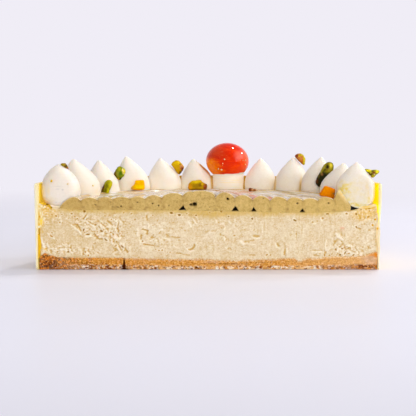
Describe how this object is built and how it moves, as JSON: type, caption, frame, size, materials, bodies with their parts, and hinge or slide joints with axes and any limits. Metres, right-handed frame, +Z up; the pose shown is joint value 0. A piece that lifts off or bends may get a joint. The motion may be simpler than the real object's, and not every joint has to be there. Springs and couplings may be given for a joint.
{
  "type": "pistachio cheesecake half",
  "caption": "Half of a round pistachio cheesecake cut through the middle: biscuit crust, piped pistachio spiral, ring of cream kisses, nuts, jelly cubes, red glazed ball and yellow side band.",
  "frame": {"origin": "middle of the footprint, on the surface that the crust rests on", "axes": "+X to the right along the cut face, which looks along -Y; +Y towards the round back; +Z up"},
  "size_m": [0.181, 0.0904, 0.0651],
  "materials": {
    "biscuit": "dry crumbly biscuit",
    "cheesecake": "moist baked curd, cut face with small pits",
    "yellow_band": "smooth satin coloured chocolate",
    "pistachio_cream": "soft cream under a thin clear glaze",
    "white_cream": "smooth whipped cream",
    "red_glaze": "mirror glaze",
    "pistachio_nut": "chopped kernel with thin brown skin",
    "yellow_jelly": "moist fruit jelly",
    "orange_jelly": "moist fruit jelly"
  },
  "bodies": {
    "root": {"biscuit_crust": "biscuit", "cheesecake_filling": "cheesecake", "yellow_band": "yellow_band", "pistachio_piping": "pistachio_cream", "cream_kiss_01": "white_cream", "cream_kiss_02": "white_cream", "cream_kiss_03": "white_cream", "cream_kiss_04": "white_cream", "cream_kiss_05": "white_cream", "cream_kiss_06": "white_cream", "cream_kiss_07": "white_cream", "cream_kiss_08": "white_cream", "cream_kiss_09": "white_cream", "cream_kiss_10": "white_cream", "cream_kiss_11": "white_cream", "cream_kiss_12": "white_cream", "red_ball": "red_glaze", "pistachio_piece_1": "pistachio_nut", "pistachio_piece_2": "pistachio_nut", "pistachio_piece_3": "pistachio_nut", "pistachio_piece_4": "pistachio_nut", "pistachio_piece_5": "pistachio_nut", "pistachio_piece_6": "pistachio_nut", "pistachio_piece_7": "pistachio_nut", "pistachio_piece_8": "pistachio_nut", "pistachio_piece_9": "pistachio_nut", "jelly_cube_1": "yellow_jelly", "jelly_cube_2": "orange_jelly"}
  },
  "joints": []
}
